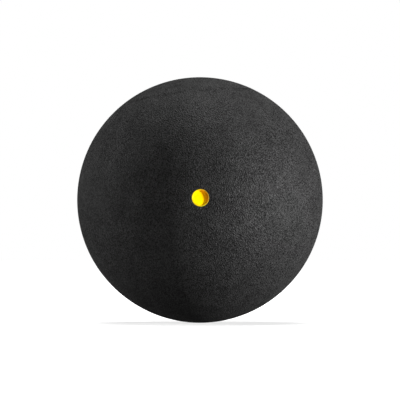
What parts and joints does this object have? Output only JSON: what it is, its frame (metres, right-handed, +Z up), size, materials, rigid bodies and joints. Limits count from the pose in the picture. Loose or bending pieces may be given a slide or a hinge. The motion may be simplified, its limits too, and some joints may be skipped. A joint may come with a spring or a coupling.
{
  "type": "squash ball",
  "caption": "Hollow matte black rubber ball of cemented half-shells, with a painted yellow dot in a moulded pit, for playing squash.",
  "frame": {"origin": "the ball's centre", "axes": "+Z up, the dot faces -Y, and the seam between the half-shells lies in the XZ plane"},
  "size_m": [0.04, 0.04, 0.04],
  "materials": {
    "black_rubber": "matte, finely buffed all over",
    "rubber_cement": "satin, buffed flush with the shells",
    "dot_paint": "glossy enamel paint"
  },
  "bodies": {
    "root": {"front_half_shell": "black_rubber", "rear_half_shell": "black_rubber", "seam_cement": "rubber_cement", "yellow_dot": "dot_paint"}
  },
  "joints": []
}
